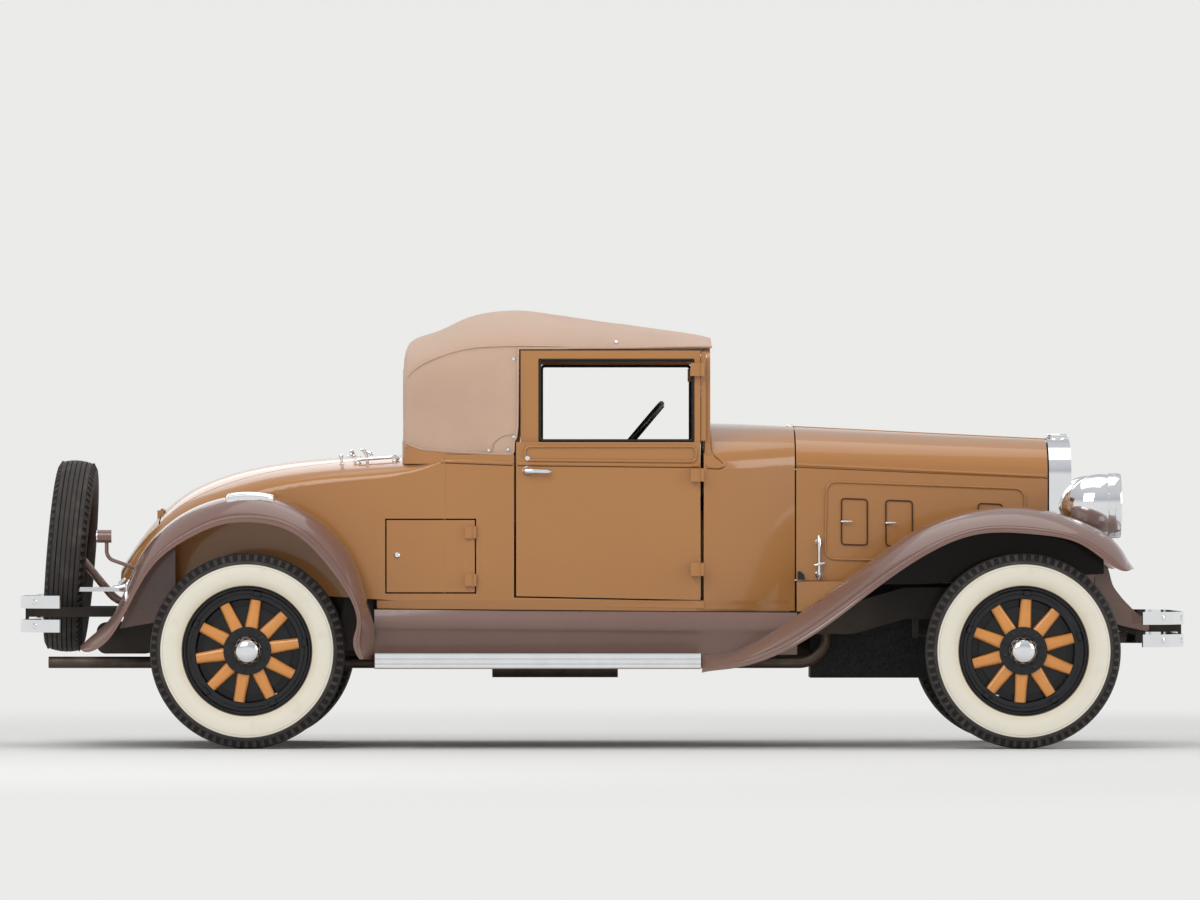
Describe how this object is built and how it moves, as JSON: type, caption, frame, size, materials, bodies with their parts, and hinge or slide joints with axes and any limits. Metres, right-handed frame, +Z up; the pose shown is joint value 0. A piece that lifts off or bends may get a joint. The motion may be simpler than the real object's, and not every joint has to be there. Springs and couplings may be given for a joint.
{
  "type": "late-1920s two-door coupe car with rumble seat",
  "caption": "Late-1920s coupe car with cloth top, rumble seat, side hatch, wood-spoked wheels, folding hood, steering and a spare at the rear.",
  "frame": {"origin": "on the ground under the middle of the car's bounding box", "axes": "+X forward, +Y to the car's left, +Z up"},
  "size_m": [4.794, 1.7, 1.8157],
  "materials": {
    "body_paint": "caramel tan enamel",
    "fender_paint": "mauve-brown enamel",
    "chassis_paint": "black chassis enamel",
    "chrome": "polished plate",
    "tyre_rubber": "ribbed tyre with a cream sidewall",
    "spoke_wood": "varnished hickory",
    "cloth": "woven cloth top",
    "seat_leather": "brown leather",
    "glass": "clear plate glass",
    "steel": "oiled steel",
    "iron": "cast engine block",
    "board": "painted boards",
    "wheel_rim": "black hard-rubber rim"
  },
  "bodies": {
    "chassis": {"body_shell": "body_paint", "chassis_frame": "chassis_paint", "cowl": "body_paint", "dashboard": "board", "engine": "iron", "exhaust_pipe": "steel", "floor": "board", "front_axle": "chassis_paint", "front_bumper": "chrome", "front_fenders": "fender_paint", "fuel_tank": "chassis_paint", "headlamps": "chrome", "hood_hinge": "body_paint", "lamp_bar": "chrome", "leaf_springs": "steel", "propeller_shaft": "chassis_paint", "radiator_core": "chassis_paint", "radiator_shell": "chrome", "rear_axle": "chassis_paint", "rear_bumpers": "chrome", "rear_fenders": "fender_paint", "running_boards": "fender_paint", "seat_cushions": "seat_leather", "seat_riser": "board", "soft_top": "cloth", "spare_carrier": "fender_paint", "spare_rim": "chassis_paint", "spare_tyre": "tyre_rubber", "steering_column": "chassis_paint", "tail_lamp": "fender_paint", "window_glass": "glass", "windshield_frame": "body_paint"},
    "knuckle_left": {"knuckle_left": "chassis_paint"},
    "knuckle_right": {"knuckle_right": "chassis_paint"},
    "tie_rod": {"tie_rod": "chassis_paint"},
    "steering_wheel": {"steering_wheel": "wheel_rim"},
    "wheel_front_left": {"tyre_front_left": "tyre_rubber", "rim_and_hub_front_left": "chassis_paint", "spokes_front_left": "spoke_wood"},
    "wheel_front_right": {"tyre_front_right": "tyre_rubber", "rim_and_hub_front_right": "chassis_paint", "spokes_front_right": "spoke_wood"},
    "wheel_rear_left": {"tyre_rear_left": "tyre_rubber", "rim_and_hub_rear_left": "chassis_paint", "spokes_rear_left": "spoke_wood"},
    "wheel_rear_right": {"tyre_rear_right": "tyre_rubber", "rim_and_hub_rear_right": "chassis_paint", "spokes_rear_right": "spoke_wood"},
    "door_left": {"door_left": "body_paint"},
    "door_right": {"door_right": "body_paint"},
    "hood_top_left": {"hood_top_left": "body_paint"},
    "hood_top_right": {"hood_top_right": "body_paint"},
    "hood_side_left": {"hood_side_left": "body_paint"},
    "hood_side_right": {"hood_side_right": "body_paint"},
    "rumble_lid": {"rumble_lid": "body_paint"},
    "golf_door": {"golf_door": "body_paint"}
  },
  "joints": [
    {"name": "steer_left", "type": "hinge", "parent": "chassis", "child": "knuckle_left", "pos_m": [1.718, 0.6, 0.4005], "axis": [0, 0, 1], "range_deg": [-28, 28]},
    {"name": "steer_right", "type": "hinge", "parent": "chassis", "child": "knuckle_right", "pos_m": [1.718, -0.6, 0.4005], "axis": [0, 0, 1], "range_deg": [-28, 28]},
    {"name": "tie_rod_swing", "type": "hinge", "parent": "knuckle_left", "child": "tie_rod", "pos_m": [1.548, 0.6, 0.3085], "axis": [0, 0, 1], "range_deg": [-28, 28]},
    {"name": "steering_wheel_turn", "type": "hinge", "parent": "chassis", "child": "steering_wheel", "pos_m": [0.108, 0.34, 1.266], "axis": [-0.766, 0, 0.6428], "range_deg": [-336, 336]},
    {"name": "wheel_front_left_spin", "type": "hinge", "parent": "knuckle_left", "child": "wheel_front_left", "pos_m": [1.718, 0.7175, 0.4005], "axis": [0, 1, 0], "continuous": true},
    {"name": "wheel_front_right_spin", "type": "hinge", "parent": "knuckle_right", "child": "wheel_front_right", "pos_m": [1.718, -0.7175, 0.4005], "axis": [0, 1, 0], "continuous": true},
    {"name": "wheel_rear_left_spin", "type": "hinge", "parent": "chassis", "child": "wheel_rear_left", "pos_m": [-1.457, 0.7175, 0.4005], "axis": [0, 1, 0], "continuous": true},
    {"name": "wheel_rear_right_spin", "type": "hinge", "parent": "chassis", "child": "wheel_rear_right", "pos_m": [-1.457, -0.7175, 0.4005], "axis": [0, 1, 0], "continuous": true},
    {"name": "door_left_swing", "type": "hinge", "parent": "chassis", "child": "door_left", "pos_m": [0.406, 0.668, 1.165], "axis": [0, 0, -1], "range_deg": [0, 65]},
    {"name": "door_right_swing", "type": "hinge", "parent": "chassis", "child": "door_right", "pos_m": [0.406, -0.668, 1.165], "axis": [0, 0, 1], "range_deg": [0, 65]},
    {"name": "hood_left_lift", "type": "hinge", "parent": "chassis", "child": "hood_top_left", "pos_m": [0.796, 0, 1.327], "axis": [0.9988, 0, -0.0497], "range_deg": [0, 48]},
    {"name": "hood_left_fold", "type": "hinge", "parent": "hood_top_left", "child": "hood_side_left", "pos_m": [0.796, 0.421, 1.16], "axis": [0.9904, -0.1308, -0.0445], "range_deg": [-40.32, 0]},
    {"name": "hood_right_lift", "type": "hinge", "parent": "chassis", "child": "hood_top_right", "pos_m": [0.796, 0, 1.327], "axis": [-0.9988, 0, 0.0497], "range_deg": [0, 48]},
    {"name": "hood_right_fold", "type": "hinge", "parent": "hood_top_right", "child": "hood_side_right", "pos_m": [0.796, -0.421, 1.16], "axis": [-0.9904, -0.1308, 0.0445], "range_deg": [-40.32, 0]},
    {"name": "rumble_lid_tip", "type": "hinge", "parent": "chassis", "child": "rumble_lid", "pos_m": [-1.83, 0, 0.97739], "axis": [0, -1, 0], "range_deg": [0, 75]},
    {"name": "golf_door_swing", "type": "hinge", "parent": "chassis", "child": "golf_door", "pos_m": [-0.528, -0.65117, 0.788], "axis": [0, 0, 1], "range_deg": [0, 85]}
  ],
  "couplings": [
    {"joint": "steer_right", "follows": "steer_left", "ratio": 1},
    {"joint": "tie_rod_swing", "follows": "steer_left", "ratio": -1},
    {"joint": "steering_wheel_turn", "follows": "steer_left", "ratio": 12},
    {"joint": "hood_left_fold", "follows": "hood_left_lift", "ratio": -0.84},
    {"joint": "hood_right_fold", "follows": "hood_right_lift", "ratio": -0.84}
  ]
}
